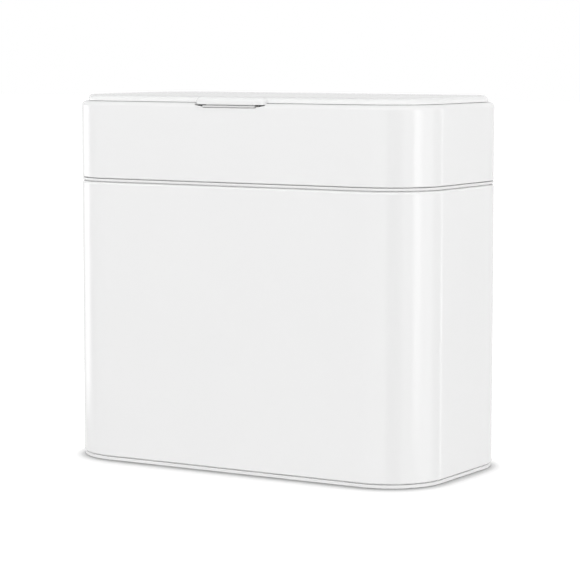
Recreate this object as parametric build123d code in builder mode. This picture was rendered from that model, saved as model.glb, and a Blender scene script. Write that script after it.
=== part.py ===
"""Countertop compost caddy: steel shell, lift-out bucket, lift-off collar and hinged lid.

Millimetres, +Z up, front towards -Y. The origin is at the centre of the footprint, on the worktop.
An inset is always measured inwards from the outer face of the shell.
"""

import os

from build123d import *

# Overall body
WIDTH = 240.0
DEPTH = 122.5
CORNER = 34.0
SHEET = 0.8

# Heights of what is stacked, from the worktop up
FOOT_PROUD = 0.2
BASE_HEIGHT = 2.45
SHELL_HEIGHT = 162.85
SEAM_GAP = 0.4
BEAD_HEIGHT = 1.55
BAND_HEIGHT = 45.15
LID_RISE = 3.6
LID_GAP = 0.35

# Bends in the painted sheet
SHELL_TOE = 1.0
SHELL_BROW = 1.2
SHELL_HEM = 2.6
BAND_FOOT = 0.5
BAND_SHOULDER = 2.9
BAND_LIP = 6.5

# Clearances
SNUG = 0.1
SLIP = 0.2
SEAT = 0.15
RUNNING = 0.05
LIFT_CLEAR = 0.4
LINER_CLEAR = 0.8

# Base tray, floor pan and feet
BASE_INSET = 0.8
BASE_RIM = 4.2
BASE_PLATE = 1.45
BASE_GROOVE = 0.5
BASE_NECK_INSET = 2.4
BASE_RIB = 2.0
BASE_RIB_PITCH = 35.0
BASE_RIB_COUNT = 5
PAN_TOE_CLEAR = 1.8
PAN_FLOOR = 2.0
PAN_WALL = 1.8
PAN_HEIGHT = 13.0
PAN_BOSS_RADIUS = 3.4
PAN_BOSS_HEIGHT = 8.0
PAN_BOSS_GAP = 0.6
FLANGE_MARGIN = 0.8
FOOT_RADIUS = 7.0
FOOT_ROUND = 0.3
FOOT_SEAT_DEPTH = 1.0
FOOT_RIM = 1.2
FOOT_FROM_END = 26.0
FOOT_FROM_SIDE = 24.0

# Base screws
BASE_SCREW_RADIUS = 1.45
BASE_SCREW_LENGTH = 8.6
BASE_SCREW_HEAD_RADIUS = 2.9
BASE_SCREW_FROM_END = 50.0
BASE_SCREW_HOLE_CLEAR = 0.4
DRIVE_WIDTH = 0.7
DRIVE_DEPTH = 0.4

# Trim ring in the seam
BEAD_INSET = 0.4
BEAD_ROUND = 0.5
TRIM_NECK_INSET = 2.2
TRIM_WALL = 1.6
TRIM_DEPTH = 12.5
TRIM_LUG_WIDTH = 12.0
TRIM_LUG_HEIGHT = 2.3
TRIM_LUG_REACH = 1.6
TRIM_LUG_FROM_END = 60.0

# Docking magnets inside the rear wall
MAGNET_WIDTH = 20.0
MAGNET_HEIGHT = 15.6
MAGNET_THICK = 2.9
MAGNET_COUNT = 4
MAGNET_DROP = 49.5
CARRIER_FROM_CORNER = 11.2
CARRIER_MARGIN = 8.0
CARRIER_CORNER = 4.0
CARRIER_WEB = 0.7
BACK_PLATE_THICK = 1.0

# Bucket
BUCKET_WALL = 1.6
BUCKET_ROLL = 2.4
BUCKET_ROLL_HEIGHT = 3.0
BUCKET_ROLL_ROUND = 0.5
BUCKET_TAPER = 3.4
BUCKET_FOOT_ROUND = 9.0
BUCKET_FLOOR_CLEAR = 0.3
BUCKET_HEADROOM = 5.0

# Collar frame
FRAME_WALL = 1.8
DECK = 2.2
SPIGOT_WALL = 1.6
SPIGOT_DEPTH = 9.5
SHOULDER_THICK = 1.8
GROOVE_RELIEF = 1.0
THROAT_WALL = 1.6
THROAT_DIP = 10.0

# Hinge along the rear of the lid
SPINE_RADIUS = 3.9
SPINE_CLEAR = 0.4
SPINE_MARGIN = 3.3
KNUCKLE_LENGTH = 18.0
KNUCKLE_FROM_CORNER = 32.0
KNUCKLE_GAP = 0.3
KNUCKLE_ARM_LAP = 0.3
PIN_RADIUS = 1.5
PIN_BEARING = 8.0
BUSH_WALL = 0.85
POCKET_WALL = 1.4
CAP_SCREW_RADIUS = 1.1
CAP_SCREW_HEAD_RADIUS = 2.0
CAP_SCREW_HEAD = 1.4
CAP_SCREW_BITE = 2.5
CAP_SCREW_FROM_CORNER = 4.0

# Lid
LID_INSET = 3.9
LID_EDGE = 1.8
LID_SKIN = 1.0
LID_REAR_STEP = 2.6
PANEL_RAISE = 0.25
PLUG_WALL = 1.6
PLUG_DEPTH = 6.0
PLUG_CLEAR = 0.9
SEAL_START = 2.2
SEAL_WIDTH = 2.8
SEAL_SEAT = 0.8
SEAL_CLEAR = 0.25
SEAL_ROUND = 0.7

# Pull tab at the front of the lid
TAB_HALF = 23.0
TAB_REACH = 2.1
TAB_CORNER = 6.0
TAB_APRON = 1.15
TAB_ROOT = 10.0
LIP_HALF = 17.5
LIP_DROP = 1.65
LIP_THICK = 3.0
LIP_PROUD = 0.4
LIP_ROUND = 0.4
NOTCH_SIDE = 0.6
NOTCH_UNDER = 0.3
NOTCH_STEP = 1.3
NOTCH_END = 0.55
NOTCH_FLOOR = 1.6
BUMPER_DEPTH = 2.0
BUMPER_CLEAR = 0.3
BUMPER_ROUND = 0.9

# Levels
BASE_BOTTOM = FOOT_PROUD
SHELL_BOTTOM = BASE_BOTTOM + BASE_HEIGHT
SHELL_TOP = SHELL_BOTTOM + SHELL_HEIGHT
BEAD_BOTTOM = SHELL_TOP + SEAM_GAP
BEAD_TOP = BEAD_BOTTOM + BEAD_HEIGHT
BAND_BOTTOM = BEAD_TOP + SEAM_GAP
BAND_TOP = BAND_BOTTOM + BAND_HEIGHT
LID_TOP = BAND_TOP + LID_RISE
LID_BOTTOM = BAND_TOP + LID_GAP
PAN_BOTTOM = SHELL_BOTTOM + SHEET
PAN_TOP = PAN_BOTTOM + PAN_FLOOR
DECK_TOP = BAND_TOP - SHEET
DECK_BOTTOM = DECK_TOP - DECK
BUCKET_BOTTOM = PAN_TOP + BUCKET_FLOOR_CLEAR
BUCKET_TOP = DECK_BOTTOM - BUCKET_HEADROOM
THROAT_BOTTOM = BUCKET_TOP - THROAT_DIP
COLLAR_SEAT = BEAD_TOP + SEAT
SKIN_BOTTOM = LID_TOP - LID_SKIN
PANEL_BOTTOM = LID_BOTTOM + PANEL_RAISE
PANEL_THICK = SKIN_BOTTOM - PANEL_BOTTOM
TAB_BOTTOM = LID_BOTTOM - TAB_APRON
LIP_BOTTOM = TAB_BOTTOM - LIP_DROP
NOTCH_BOTTOM = LIP_BOTTOM - NOTCH_UNDER
BUMPER_TOP = TAB_BOTTOM - BUMPER_CLEAR
MAGNET_LEVEL = SHELL_TOP - MAGNET_DROP

# Insets of what is nested
PAN_INSET = SHELL_TOE + PAN_TOE_CLEAR
SCREW_INSET = PAN_INSET + PAN_BOSS_RADIUS + PAN_BOSS_GAP
FLANGE_INSET = SCREW_INSET + PAN_BOSS_RADIUS + FLANGE_MARGIN
TRIM_INSET = SHELL_HEM + SLIP
TRIM_INNER = TRIM_INSET + TRIM_WALL
SPIGOT_INSET = TRIM_INNER + LIFT_CLEAR
SPIGOT_INNER = SPIGOT_INSET + SPIGOT_WALL
ROLL_INSET = SPIGOT_INNER + LINER_CLEAR
BUCKET_INSET = ROLL_INSET + BUCKET_ROLL
BUCKET_INNER = BUCKET_INSET + BUCKET_WALL
FRAME_INSET = SHEET + SEAT
FRAME_INNER = FRAME_INSET + FRAME_WALL
THROAT_INSET = BUCKET_INNER + LINER_CLEAR + THROAT_WALL
LID_INNER = LID_INSET + LID_SKIN
PANEL_INSET = LID_INNER + SLIP
NOTCH_INSET = PANEL_INSET + SLIP

# Hinge line and throat
FRONT = -DEPTH / 2
REAR = DEPTH / 2
HINGE_Y = REAR - LID_INSET - SPINE_RADIUS
HINGE_Z = LID_TOP - SPINE_RADIUS
SWEEP_RADIUS = SPINE_RADIUS + SPINE_CLEAR
KNUCKLE_SPREAD = WIDTH / 2 - CORNER - KNUCKLE_FROM_CORNER
KNUCKLE_START = KNUCKLE_SPREAD - KNUCKLE_LENGTH / 2
KNUCKLE_END = KNUCKLE_SPREAD + KNUCKLE_LENGTH / 2
BUSH_RADIUS = PIN_RADIUS + RUNNING + BUSH_WALL
PIN_LENGTH = KNUCKLE_LENGTH + 2 * PIN_BEARING
CAP_SCREW_OUTER = WIDTH / 2 - CORNER - CAP_SCREW_FROM_CORNER
CAP_SCREW_INNER = (KNUCKLE_SPREAD - PIN_LENGTH / 2) / 2
SEAL_END = SEAL_START + SEAL_WIDTH
THROAT_REAR = LID_INSET + 2 * SPINE_RADIUS + SPINE_MARGIN + SEAL_END
THROAT_WIDTH = WIDTH - 2 * THROAT_INSET
THROAT_DEPTH = DEPTH - THROAT_INSET - THROAT_REAR
THROAT_CORNER = CORNER - THROAT_INSET
THROAT_Y = (THROAT_INSET - THROAT_REAR) / 2

# Repeated places
SCREW_X = WIDTH / 2 - SCREW_INSET
SCREW_Y = DEPTH / 2 - SCREW_INSET
SCREW_SPREAD = WIDTH / 2 - BASE_SCREW_FROM_END
SCREW_SPOTS = [(SCREW_X, 0), (-SCREW_X, 0)]
SCREW_SPOTS += [(x, y) for x in (-SCREW_SPREAD, SCREW_SPREAD) for y in (-SCREW_Y, SCREW_Y)]
FOOT_X = WIDTH / 2 - FOOT_FROM_END
FOOT_Y = DEPTH / 2 - FOOT_FROM_SIDE
FOOT_SPOTS = [(x, y) for x in (-FOOT_X, FOOT_X) for y in (-FOOT_Y, FOOT_Y)]
CARRIER_WIDTH = WIDTH - 2 * (CORNER + CARRIER_FROM_CORNER)
MAGNET_PITCH = (CARRIER_WIDTH - 2 * CARRIER_MARGIN - MAGNET_WIDTH) / (MAGNET_COUNT - 1)
MAGNET_SPOTS = [(i - (MAGNET_COUNT - 1) / 2) * MAGNET_PITCH for i in range(MAGNET_COUNT)]
CAP_SCREW_SPOTS = [-CAP_SCREW_OUTER, -CAP_SCREW_INNER, CAP_SCREW_INNER, CAP_SCREW_OUTER]
SIDES = (-1, 1)

STANDING = (Align.CENTER, Align.CENTER, Align.MIN)
HANGING = (Align.CENTER, Align.CENTER, Align.MAX)


def plan(inset, z):
    """The body's rounded outline at height z, drawn in by inset."""
    with BuildSketch(Plane.XY.offset(z)) as outline:
        RectangleRounded(WIDTH - 2 * inset, DEPTH - 2 * inset, CORNER - inset)
    return outline.sketch


def plan_ring(outer, inner, z):
    """The strip between two insets of the body's outline."""
    with BuildSketch(Plane.XY.offset(z)) as outline:
        RectangleRounded(WIDTH - 2 * outer, DEPTH - 2 * outer, CORNER - outer)
        RectangleRounded(WIDTH - 2 * inner, DEPTH - 2 * inner, CORNER - inner, mode=Mode.SUBTRACT)
    return outline.sketch


def throat(grow, z):
    """The throat's outline at height z, grown outwards by grow."""
    with BuildSketch(Plane.XY.offset(z)) as outline:
        with Locations((0, THROAT_Y)):
            RectangleRounded(THROAT_WIDTH + 2 * grow, THROAT_DEPTH + 2 * grow, THROAT_CORNER + grow)
    return outline.sketch


def throat_ring(outer, inner, z):
    """The strip between two outlines of the throat."""
    with BuildSketch(Plane.XY.offset(z)) as outline:
        add(throat(outer, z))
        add(throat(inner, z), mode=Mode.SUBTRACT)
    return outline.sketch


def block(inset, bottom, top, bottom_round=0.0, top_round=0.0):
    """A solid on the body's outline, with rounded lower and upper edges."""
    with BuildPart() as solid:
        extrude(plan(inset, bottom), amount=top - bottom)
        if bottom_round > 0:
            fillet(solid.edges().group_by(Axis.Z)[0], bottom_round)
        if top_round > 0:
            fillet(solid.edges().group_by(Axis.Z)[-1], top_round)
    return solid.part


def hinge_rod(radius, start, end):
    """A round bar on the hinge line, from one X to another."""
    with BuildPart() as rod:
        with BuildSketch(Plane.YZ.offset(start)):
            with Locations((HINGE_Y, HINGE_Z)):
                Circle(radius)
        extrude(amount=end - start)
    return rod.part


def spine_length(start, end):
    """The half-round spine over the hinge line, trimmed to the lid's outline."""
    with BuildPart() as spine:
        add(hinge_rod(SPINE_RADIUS, start, end))
        with BuildSketch(Plane.XY.offset(HINGE_Z)):
            add(plan(LID_INSET, HINGE_Z))
        extrude(amount=SPINE_RADIUS, mode=Mode.INTERSECT)
    return spine.part


def tab_outline(shrink, z):
    """The pull tab's outline, from inside the lid's front edge to the tab's front."""
    half = TAB_HALF - shrink
    tip = FRONT - TAB_REACH + shrink
    with BuildSketch(Plane.XY.offset(z)) as outline:
        with Locations((0, tip)):
            Rectangle(2 * half, TAB_ROOT, align=(Align.CENTER, Align.MIN))
        fillet(outline.vertices().group_by(Axis.Y)[0], TAB_CORNER - shrink)
    return outline.sketch


def save(part, name):
    """Label one finished piece and write it."""
    part.label = name
    export_step(part, f"parts/{name}.step")


os.makedirs("parts", exist_ok=True)

# Outer shell: a sleeve with a hem at the mouth and a flange at the foot
with BuildPart() as outer_shell:
    add(block(0, SHELL_BOTTOM, SHELL_TOP, SHELL_TOE, SHELL_BROW))
    add(
        block(SHEET, SHELL_BOTTOM + SHEET, SHELL_TOP - SHEET, SHELL_TOE - SHEET, SHELL_BROW - SHEET),
        mode=Mode.SUBTRACT,
    )
    extrude(plan(FLANGE_INSET, SHELL_BOTTOM), amount=SHEET, mode=Mode.SUBTRACT)
    extrude(plan(SHELL_HEM, SHELL_TOP - SHEET), amount=SHEET, mode=Mode.SUBTRACT)
    with Locations(*[(x, y, SHELL_BOTTOM) for x, y in SCREW_SPOTS]):
        Cylinder(BASE_SCREW_RADIUS + BASE_SCREW_HOLE_CLEAR, SHEET, align=STANDING, mode=Mode.SUBTRACT)

# Trim ring: a bead in the seam on a neck, with a leg and snap lugs inside the shell
with BuildPart() as shell_trim:
    add(block(BEAD_INSET, BEAD_BOTTOM, BEAD_TOP, BEAD_ROUND, BEAD_ROUND))
    extrude(plan(TRIM_NECK_INSET, SHELL_TOP), amount=SEAM_GAP)
    extrude(plan(TRIM_INSET, SHELL_TOP - TRIM_DEPTH), amount=TRIM_DEPTH)
    extrude(plan(TRIM_INNER, SHELL_TOP - TRIM_DEPTH), amount=TRIM_DEPTH + SEAM_GAP + BEAD_HEIGHT,
            mode=Mode.SUBTRACT)
    lug_top = SHELL_TOP - SHEET - SLIP
    lug_depth = TRIM_LUG_REACH + TRIM_WALL / 2
    lug_y = DEPTH / 2 - TRIM_INSET + TRIM_LUG_REACH - lug_depth / 2
    lug_x = WIDTH / 2 - TRIM_INSET + TRIM_LUG_REACH - lug_depth / 2
    lug_spread = WIDTH / 2 - TRIM_LUG_FROM_END
    with Locations(*[(i * lug_spread, s * lug_y, lug_top) for i in (-1, 0, 1) for s in SIDES]):
        Box(TRIM_LUG_WIDTH, lug_depth, TRIM_LUG_HEIGHT, align=HANGING)
    with Locations(*[(s * lug_x, 0, lug_top) for s in SIDES]):
        Box(lug_depth, TRIM_LUG_WIDTH, TRIM_LUG_HEIGHT, align=HANGING)

# Base tray: a ribbed plate on a neck under the shell, with seats for the feet and the screw heads
base_inside = BASE_HEIGHT - BASE_PLATE
with BuildPart() as base_tray:
    extrude(plan(BASE_INSET, BASE_BOTTOM), amount=BASE_HEIGHT - BASE_GROOVE)
    extrude(plan(BASE_NECK_INSET, BASE_BOTTOM), amount=BASE_HEIGHT)
    extrude(plan(BASE_INSET + BASE_RIM, BASE_BOTTOM), amount=base_inside, mode=Mode.SUBTRACT)
    rib_length = DEPTH - 2 * BASE_INSET - BASE_RIM
    with Locations((0, 0, BASE_BOTTOM)):
        with GridLocations(BASE_RIB_PITCH, 1, BASE_RIB_COUNT, 1):
            Box(BASE_RIB, rib_length, base_inside, align=STANDING)
        Box(WIDTH - 2 * BASE_INSET - BASE_RIM, BASE_RIB, base_inside, align=STANDING)
    with Locations(*[(x, y, BASE_BOTTOM) for x, y in SCREW_SPOTS]):
        Cylinder(BASE_SCREW_HEAD_RADIUS + FOOT_RIM, BASE_HEIGHT, align=STANDING)
    with Locations(*[(x, y, BASE_BOTTOM) for x, y in FOOT_SPOTS]):
        Cylinder(FOOT_RADIUS + FOOT_RIM, BASE_HEIGHT, align=STANDING)
        Cylinder(FOOT_RADIUS + SLIP, FOOT_SEAT_DEPTH, align=STANDING, mode=Mode.SUBTRACT)
    with Locations(*[(x, y, BASE_BOTTOM) for x, y in SCREW_SPOTS]):
        Cylinder(BASE_SCREW_HEAD_RADIUS + SLIP, base_inside, align=STANDING, mode=Mode.SUBTRACT)
        Cylinder(BASE_SCREW_RADIUS + SLIP, BASE_HEIGHT, align=STANDING, mode=Mode.SUBTRACT)

# Foot pads
with BuildPart() as foot_pads:
    with Locations(*[(x, y, 0) for x, y in FOOT_SPOTS]):
        Cylinder(FOOT_RADIUS, FOOT_PROUD + FOOT_SEAT_DEPTH, align=STANDING)
    fillet(foot_pads.edges().group_by(Axis.Z)[0], FOOT_ROUND)

# Floor pan: clamps the shell's flange to the base tray and carries the bucket
with BuildPart() as floor_pan:
    extrude(plan(PAN_INSET, PAN_BOTTOM), amount=PAN_HEIGHT)
    extrude(plan(PAN_INSET + PAN_WALL, PAN_TOP), amount=PAN_HEIGHT - PAN_FLOOR, mode=Mode.SUBTRACT)
    with Locations(*[(x, y, PAN_TOP) for x, y in SCREW_SPOTS]):
        Cylinder(PAN_BOSS_RADIUS, PAN_BOSS_HEIGHT, align=STANDING)
    with Locations(*[(x, y, PAN_BOTTOM) for x, y in SCREW_SPOTS]):
        Cylinder(BASE_SCREW_RADIUS + RUNNING, BASE_SCREW_LENGTH, align=STANDING, mode=Mode.SUBTRACT)

# Base screws, driven from below
head_top = BASE_BOTTOM + base_inside
shank_top = PAN_BOTTOM + BASE_SCREW_LENGTH - SLIP
with BuildPart() as base_screws:
    with Locations(*[(x, y, head_top) for x, y in SCREW_SPOTS]):
        Cylinder(BASE_SCREW_HEAD_RADIUS, base_inside - SLIP, align=HANGING)
        Cylinder(BASE_SCREW_RADIUS, shank_top - head_top, align=STANDING)
    with Locations(*[(x, y, BASE_BOTTOM + SLIP) for x, y in SCREW_SPOTS]):
        Box(BASE_SCREW_HEAD_RADIUS, DRIVE_WIDTH, DRIVE_DEPTH, align=STANDING, mode=Mode.SUBTRACT)
        Box(DRIVE_WIDTH, BASE_SCREW_HEAD_RADIUS, DRIVE_DEPTH, align=STANDING, mode=Mode.SUBTRACT)

# Docking magnets in a carrier on the inside of the rear wall
wall_y = REAR - SHEET
pocket_depth = MAGNET_THICK + SNUG
recess_depth = BACK_PLATE_THICK + SNUG
carrier_depth = pocket_depth + CARRIER_WEB + recess_depth
carrier_height = MAGNET_HEIGHT + 2 * CARRIER_MARGIN
plate_width = CARRIER_WIDTH - CARRIER_MARGIN
with BuildPart() as magnet_carrier:
    with Locations((0, wall_y - carrier_depth / 2, MAGNET_LEVEL)):
        Box(CARRIER_WIDTH, carrier_depth, carrier_height)
    fillet(magnet_carrier.edges().filter_by(Axis.Y), CARRIER_CORNER)
    with Locations(*[(x, wall_y - pocket_depth / 2, MAGNET_LEVEL) for x in MAGNET_SPOTS]):
        Box(MAGNET_WIDTH + 2 * SLIP, pocket_depth, MAGNET_HEIGHT + 2 * SLIP, mode=Mode.SUBTRACT)
    with Locations((0, wall_y - carrier_depth + recess_depth / 2, MAGNET_LEVEL)):
        Box(plate_width + 2 * SLIP, recess_depth, MAGNET_HEIGHT + 2 * SLIP, mode=Mode.SUBTRACT)

with BuildPart() as docking_magnets:
    with Locations(*[(x, wall_y - MAGNET_THICK / 2, MAGNET_LEVEL) for x in MAGNET_SPOTS]):
        Box(MAGNET_WIDTH, MAGNET_THICK, MAGNET_HEIGHT)

with BuildPart() as magnet_back_plate:
    plate_y = wall_y - carrier_depth + recess_depth - BACK_PLATE_THICK / 2
    with Locations((0, plate_y, MAGNET_LEVEL)):
        Box(plate_width, BACK_PLATE_THICK, MAGNET_HEIGHT)

# Bucket: a tapered tub with a rolled rim
with BuildPart() as bucket:
    with BuildSketch(Plane.XY.offset(BUCKET_BOTTOM)):
        add(plan(BUCKET_INSET + BUCKET_TAPER, 0))
    with BuildSketch(Plane.XY.offset(BUCKET_TOP)):
        add(plan(BUCKET_INSET, 0))
    loft()
    fillet(bucket.edges().group_by(Axis.Z)[0], BUCKET_FOOT_ROUND)
    offset(amount=-BUCKET_WALL, openings=bucket.faces().sort_by(Axis.Z)[-1])
    extrude(plan_ring(ROLL_INSET, BUCKET_INSET + BUCKET_WALL / 2, BUCKET_TOP - BUCKET_ROLL_HEIGHT),
            amount=BUCKET_ROLL_HEIGHT)
    roll_edges = bucket.edges().filter_by_position(Axis.Z, BUCKET_TOP - SLIP, BUCKET_TOP + SLIP)
    fillet(roll_edges, BUCKET_ROLL_ROUND)

# Collar band: painted steel with a rounded shoulder and a stepped notch under the pull tab
notch_half = TAB_HALF + NOTCH_SIDE
with BuildPart() as collar_band:
    add(block(0, BAND_BOTTOM, BAND_TOP, BAND_FOOT, BAND_SHOULDER))
    add(block(SHEET, BAND_BOTTOM, DECK_TOP, 0, BAND_SHOULDER - SHEET), mode=Mode.SUBTRACT)
    extrude(plan(BAND_LIP, DECK_TOP), amount=SHEET, mode=Mode.SUBTRACT)
    with BuildSketch(Plane.XY.offset(DECK_TOP)):
        add(plan(LID_INSET - LIFT_CLEAR, DECK_TOP))
        with Locations((0, HINGE_Y - SWEEP_RADIUS)):
            Rectangle(WIDTH, DEPTH, align=(Align.CENTER, Align.MIN), mode=Mode.INTERSECT)
    extrude(amount=SHEET, mode=Mode.SUBTRACT)
    with BuildSketch(Plane.XZ.offset(-FRONT)):
        with BuildLine():
            Polyline(
                (-notch_half, BAND_TOP),
                (-notch_half, TAB_BOTTOM - NOTCH_END),
                (-LIP_HALF - NOTCH_SIDE, TAB_BOTTOM - NOTCH_STEP),
                (-LIP_HALF - NOTCH_SIDE, NOTCH_BOTTOM),
                (LIP_HALF + NOTCH_SIDE, NOTCH_BOTTOM),
                (LIP_HALF + NOTCH_SIDE, TAB_BOTTOM - NOTCH_STEP),
                (notch_half, TAB_BOTTOM - NOTCH_END),
                (notch_half, BAND_TOP),
                close=True,
            )
        make_face()
    extrude(amount=-BAND_LIP, mode=Mode.SUBTRACT)

# Collar frame: wall and deck, then shoulder and spigot, throat, hinge bed and tab notch
with BuildPart() as collar_frame:
    add(block(FRAME_INSET, BAND_BOTTOM + GROOVE_RELIEF, DECK_TOP, 0, BAND_SHOULDER - SHEET))
    extrude(plan(FRAME_INNER, BAND_BOTTOM), amount=DECK_BOTTOM - BAND_BOTTOM, mode=Mode.SUBTRACT)
    extrude(plan_ring(FRAME_INNER - FRAME_WALL / 2, SPIGOT_INNER, COLLAR_SEAT), amount=SHOULDER_THICK)
    extrude(plan_ring(SPIGOT_INSET, SPIGOT_INNER, COLLAR_SEAT - SPIGOT_DEPTH), amount=SPIGOT_DEPTH)
    extrude(throat(THROAT_WALL, THROAT_BOTTOM), amount=DECK_TOP - THROAT_BOTTOM)
    extrude(throat(0, THROAT_BOTTOM), amount=DECK_TOP - THROAT_BOTTOM, mode=Mode.SUBTRACT)
    # Hinge bed, level with the hinge line, with a closed pocket under each knuckle
    with BuildSketch(Plane.XY.offset(HINGE_Z)) as bed:
        add(plan(LID_INSET, HINGE_Z))
        with Locations((0, HINGE_Y)):
            Rectangle(WIDTH, 2 * SPINE_RADIUS, mode=Mode.INTERSECT)
    extrude(bed.sketch, amount=DECK_BOTTOM - HINGE_Z)
    extrude(bed.sketch, amount=SPINE_RADIUS, mode=Mode.SUBTRACT)
    pocket_bottom = HINGE_Z - SWEEP_RADIUS - POCKET_WALL
    with Locations(*[(s * KNUCKLE_SPREAD, HINGE_Y, DECK_BOTTOM) for s in SIDES]):
        Box(KNUCKLE_LENGTH + 2 * (KNUCKLE_GAP + POCKET_WALL), 2 * (SWEEP_RADIUS + POCKET_WALL),
            DECK_BOTTOM - pocket_bottom, align=HANGING)
    for side in SIDES:
        pocket_half = KNUCKLE_LENGTH / 2 + KNUCKLE_GAP
        middle = side * KNUCKLE_SPREAD
        add(hinge_rod(SWEEP_RADIUS, middle - pocket_half, middle + pocket_half), mode=Mode.SUBTRACT)
        saddle_half = PIN_LENGTH / 2 + SLIP
        add(hinge_rod(PIN_RADIUS + RUNNING, middle - saddle_half, middle + saddle_half),
            mode=Mode.SUBTRACT)
    with Locations(*[(x, HINGE_Y, DECK_BOTTOM) for x in CAP_SCREW_SPOTS]):
        Cylinder(CAP_SCREW_RADIUS + SLIP, HINGE_Z - DECK_BOTTOM, align=STANDING, mode=Mode.SUBTRACT)
    # Notch under the pull tab, with its own floor below the deck
    with Locations((0, FRONT + FRAME_INSET, NOTCH_BOTTOM)):
        Box(2 * (notch_half + NOTCH_FLOOR), NOTCH_INSET + NOTCH_FLOOR, NOTCH_FLOOR,
            align=(Align.CENTER, Align.MIN, Align.MAX))
    with Locations((0, FRONT, NOTCH_BOTTOM)):
        Box(2 * notch_half, 2 * NOTCH_INSET, BAND_HEIGHT, align=STANDING, mode=Mode.SUBTRACT)

# Lid bumpers: soft blocks in the notch behind the band's shoulder, one beyond each end of the lip
with BuildPart() as lid_bumpers:
    bumper_width = TAB_HALF - LIP_HALF - NOTCH_SIDE
    bumper_x = (TAB_HALF + LIP_HALF + NOTCH_SIDE) / 2
    bumper_y = FRONT + BAND_SHOULDER + BUMPER_DEPTH / 2
    with Locations(*[(s * bumper_x, bumper_y, NOTCH_BOTTOM) for s in SIDES]):
        Box(bumper_width, BUMPER_DEPTH, BUMPER_TOP - NOTCH_BOTTOM, align=STANDING)
    fillet(lid_bumpers.edges().filter_by(Axis.Z), BUMPER_ROUND)

# Hinge caps: the fixed stretches of the spine, each with its half of the pin saddles
cap_start = KNUCKLE_START - KNUCKLE_GAP
cap_end = KNUCKLE_END + KNUCKLE_GAP
CAP_STRETCHES = {
    "hinge_cap_left": (-WIDTH / 2, -cap_end),
    "hinge_cap_centre": (-cap_start, cap_start),
    "hinge_cap_right": (cap_end, WIDTH / 2),
}
for cap_name, (cap_from, cap_to) in CAP_STRETCHES.items():
    with BuildPart() as hinge_cap:
        add(spine_length(cap_from, cap_to))
        for side in SIDES:
            middle = side * KNUCKLE_SPREAD
            saddle_half = PIN_LENGTH / 2 + SLIP
            add(hinge_rod(PIN_RADIUS + RUNNING, middle - saddle_half, middle + saddle_half),
                mode=Mode.SUBTRACT)
        with Locations(*[(x, HINGE_Y, HINGE_Z) for x in CAP_SCREW_SPOTS if cap_from < x < cap_to]):
            Cylinder(CAP_SCREW_RADIUS + RUNNING, CAP_SCREW_BITE + SLIP, align=STANDING,
                     mode=Mode.SUBTRACT)
    save(hinge_cap.part, cap_name)

# Hinge cap screws, driven from under the deck
with BuildPart() as hinge_cap_screws:
    with Locations(*[(x, HINGE_Y, DECK_BOTTOM) for x in CAP_SCREW_SPOTS]):
        Cylinder(CAP_SCREW_HEAD_RADIUS, CAP_SCREW_HEAD, align=HANGING)
        Cylinder(CAP_SCREW_RADIUS, HINGE_Z + CAP_SCREW_BITE - DECK_BOTTOM, align=STANDING)
    with Locations(*[(x, HINGE_Y, DECK_BOTTOM - CAP_SCREW_HEAD) for x in CAP_SCREW_SPOTS]):
        Box(CAP_SCREW_HEAD_RADIUS, DRIVE_WIDTH, DRIVE_DEPTH, align=STANDING, mode=Mode.SUBTRACT)
        Box(DRIVE_WIDTH, CAP_SCREW_HEAD_RADIUS, DRIVE_DEPTH, align=STANDING, mode=Mode.SUBTRACT)

# Hinge pins and the bushes that turn on them
with BuildPart() as hinge_pins:
    for side in SIDES:
        middle = side * KNUCKLE_SPREAD
        add(hinge_rod(PIN_RADIUS, middle - PIN_LENGTH / 2, middle + PIN_LENGTH / 2))

with BuildPart() as hinge_bushes:
    for side in SIDES:
        middle = side * KNUCKLE_SPREAD
        add(hinge_rod(BUSH_RADIUS, middle - KNUCKLE_LENGTH / 2, middle + KNUCKLE_LENGTH / 2))
        add(hinge_rod(PIN_RADIUS + RUNNING, middle - KNUCKLE_LENGTH, middle + KNUCKLE_LENGTH),
            mode=Mode.SUBTRACT)

# Lid cover: a shallow pressed skin whose front runs out into the pull tab
with BuildPart() as lid_cover:
    with BuildSketch(Plane.XY.offset(LID_BOTTOM)):
        add(plan(LID_INSET, LID_BOTTOM))
        add(tab_outline(0, LID_BOTTOM))
    extrude(amount=LID_TOP - LID_BOTTOM)
    fillet(lid_cover.edges().group_by(Axis.Z)[-1], LID_EDGE)
    with BuildSketch(Plane.XY.offset(TAB_BOTTOM)):
        add(tab_outline(0, TAB_BOTTOM))
        add(plan(LID_INSET, TAB_BOTTOM), mode=Mode.SUBTRACT)
    extrude(amount=TAB_APRON)
    with BuildSketch(Plane.XY.offset(LID_BOTTOM)):
        add(plan(LID_INNER, LID_BOTTOM))
        add(tab_outline(LID_SKIN, LID_BOTTOM))
    extrude(amount=SKIN_BOTTOM - LID_BOTTOM, mode=Mode.SUBTRACT)
    extrude(tab_outline(LID_SKIN, TAB_BOTTOM), amount=TAB_APRON, mode=Mode.SUBTRACT)
    add(hinge_rod(SWEEP_RADIUS, -WIDTH / 2, WIDTH / 2), mode=Mode.SUBTRACT)
    with Locations((0, HINGE_Y - LID_REAR_STEP, LID_BOTTOM)):
        Box(WIDTH, DEPTH, LID_TOP, align=(Align.CENTER, Align.MIN, Align.MIN), mode=Mode.SUBTRACT)

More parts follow.
